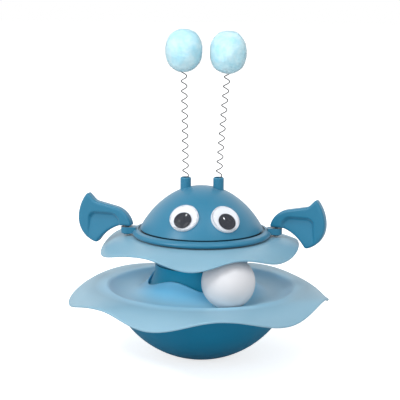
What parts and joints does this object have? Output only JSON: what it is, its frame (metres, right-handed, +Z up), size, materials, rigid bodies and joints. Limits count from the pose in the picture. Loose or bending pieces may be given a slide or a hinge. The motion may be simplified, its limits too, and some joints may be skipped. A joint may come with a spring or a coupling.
{
  "type": "tumbler cat toy",
  "caption": "Self-righting cat toy: weighted round bowl, wavy tray with a ball in a ring track, wavy skirt above, and a crab head with claws, wobble eyes and sprung pompoms.",
  "frame": {"origin": "centre of the flat foot under the bowl, on the floor", "axes": "+Z up along the bowl's axis, -Y to the front (the eyes), +X to the toy's right in the picture"},
  "size_m": [0.2004, 0.1998, 0.2533],
  "materials": {
    "dark_blue_plastic": "moulded, half gloss",
    "light_blue_plastic": "moulded, half gloss",
    "white_plastic": "smooth, satin",
    "eye_white": "gloss",
    "clear_lens": "clear",
    "black_pupil": "gloss",
    "spring_wire": "bright wire",
    "blue_yarn": "fluffy",
    "iron": "as cast",
    "screw_steel": "plated"
  },
  "bodies": {
    "toy": {"base_bowl": "dark_blue_plastic", "counterweight": "iron", "weight_screws": "screw_steel", "ball_tray": "light_blue_plastic", "neck_column": "dark_blue_plastic", "neck_screws": "screw_steel", "head_pan": "dark_blue_plastic", "pan_screws": "screw_steel", "upper_skirt": "light_blue_plastic", "head_ring": "dark_blue_plastic", "ring_screws": "screw_steel", "head_dome": "light_blue_plastic", "left_eye_back": "eye_white", "right_eye_back": "eye_white", "left_eye_lens": "clear_lens", "right_eye_lens": "clear_lens"},
    "ball": {"track_ball": "white_plastic"},
    "left_claw": {"left_claw": "dark_blue_plastic", "left_claw_pin": "screw_steel"},
    "right_claw": {"right_claw": "dark_blue_plastic", "right_claw_pin": "screw_steel"},
    "left_pupil": {"left_pupil": "black_pupil"},
    "right_pupil": {"right_pupil": "black_pupil"},
    "left_antenna": {"left_spring": "spring_wire"},
    "left_tip": {"left_pompom": "blue_yarn"},
    "right_antenna": {"right_spring": "spring_wire"},
    "right_tip": {"right_pompom": "blue_yarn"}
  },
  "joints": [
    {"name": "ball_orbit", "type": "hinge", "parent": "toy", "child": "ball", "pos_m": [0, 0, 0.0713], "axis": [0, 0, 1], "continuous": true},
    {"name": "left_claw_swivel", "type": "hinge", "parent": "toy", "child": "left_claw", "pos_m": [-0.0572, 0, 0.1023], "axis": [0, 0, 1], "range_deg": [-12, 52]},
    {"name": "right_claw_swivel", "type": "hinge", "parent": "toy", "child": "right_claw", "pos_m": [0.0572, 0, 0.1023], "axis": [0, 0, 1], "range_deg": [-12, 52]},
    {"name": "left_pupil_orbit", "type": "hinge", "parent": "toy", "child": "left_pupil", "pos_m": [-0.0133, -0.03556, 0.11597], "axis": [-0.2609, -0.6977, 0.6672], "continuous": true},
    {"name": "right_pupil_orbit", "type": "hinge", "parent": "toy", "child": "right_pupil", "pos_m": [0.01784, -0.03442, 0.11505], "axis": [0.3483, -0.6719, 0.6537], "continuous": true},
    {"name": "left_antenna_sway", "type": "hinge", "parent": "toy", "child": "left_antenna", "pos_m": [-0.0129, 0, 0.16], "axis": [0, 1, 0], "range_deg": [-40, 1.5], "stiffness_Nm_per_rad": 0.02, "deforming": ["left_spring"]},
    {"name": "left_pompom_nod", "type": "hinge", "parent": "left_antenna", "child": "left_tip", "pos_m": [-0.0142, 0, 0.2], "axis": [1, 0, 0], "range_deg": [-35, 35], "stiffness_Nm_per_rad": 0.02, "deforming": ["left_spring"]},
    {"name": "right_antenna_sway", "type": "hinge", "parent": "toy", "child": "right_antenna", "pos_m": [0.0137, 0, 0.16], "axis": [0, 1, 0], "range_deg": [-1.5, 40], "stiffness_Nm_per_rad": 0.02, "deforming": ["right_spring"]},
    {"name": "right_pompom_nod", "type": "hinge", "parent": "right_antenna", "child": "right_tip", "pos_m": [0.0166, 0, 0.2], "axis": [1, 0, 0], "range_deg": [-35, 35], "stiffness_Nm_per_rad": 0.02, "deforming": ["right_spring"]}
  ]
}
